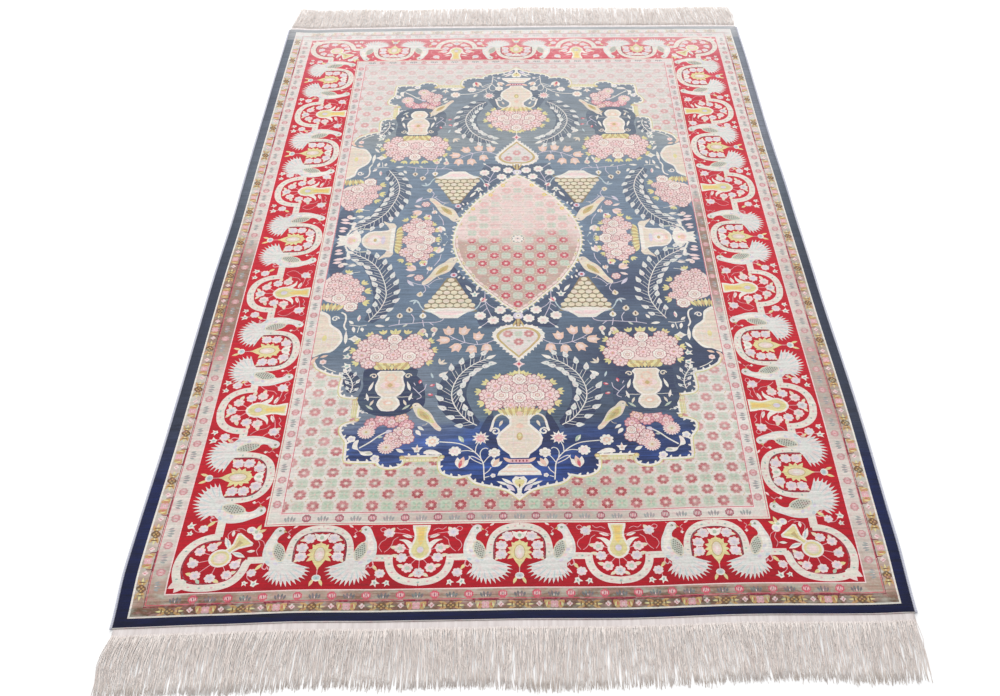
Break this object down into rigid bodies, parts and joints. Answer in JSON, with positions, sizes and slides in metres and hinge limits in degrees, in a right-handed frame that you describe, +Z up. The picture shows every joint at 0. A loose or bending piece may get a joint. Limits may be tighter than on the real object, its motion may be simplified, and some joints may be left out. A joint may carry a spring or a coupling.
{
  "type": "hand-knotted silk rug with fringed ends",
  "caption": "Flat rectangular knotted silk rug with overcast side cords and a flat-woven strip with loose warp fringe at each end.",
  "frame": {"origin": "middle of the cloth's underside, on the surface that the rug lies on", "axes": "+Z up out of the pile, +Y along the rug towards the end that is farther away in the usual view, +X across the rug"},
  "size_m": [1.0111, 1.6986, 0.004],
  "materials": {
    "pile": "clipped silk pile with a soft sheen, many yarn colours",
    "side_cord": "overcast silk yarn",
    "fringe": "undyed silk warps, matte to softly lustrous"
  },
  "bodies": {
    "root": {"cloth": "pile", "side_cord_left": "side_cord", "side_cord_right": "side_cord", "fringe_front": "fringe", "fringe_back": "fringe"}
  },
  "joints": []
}
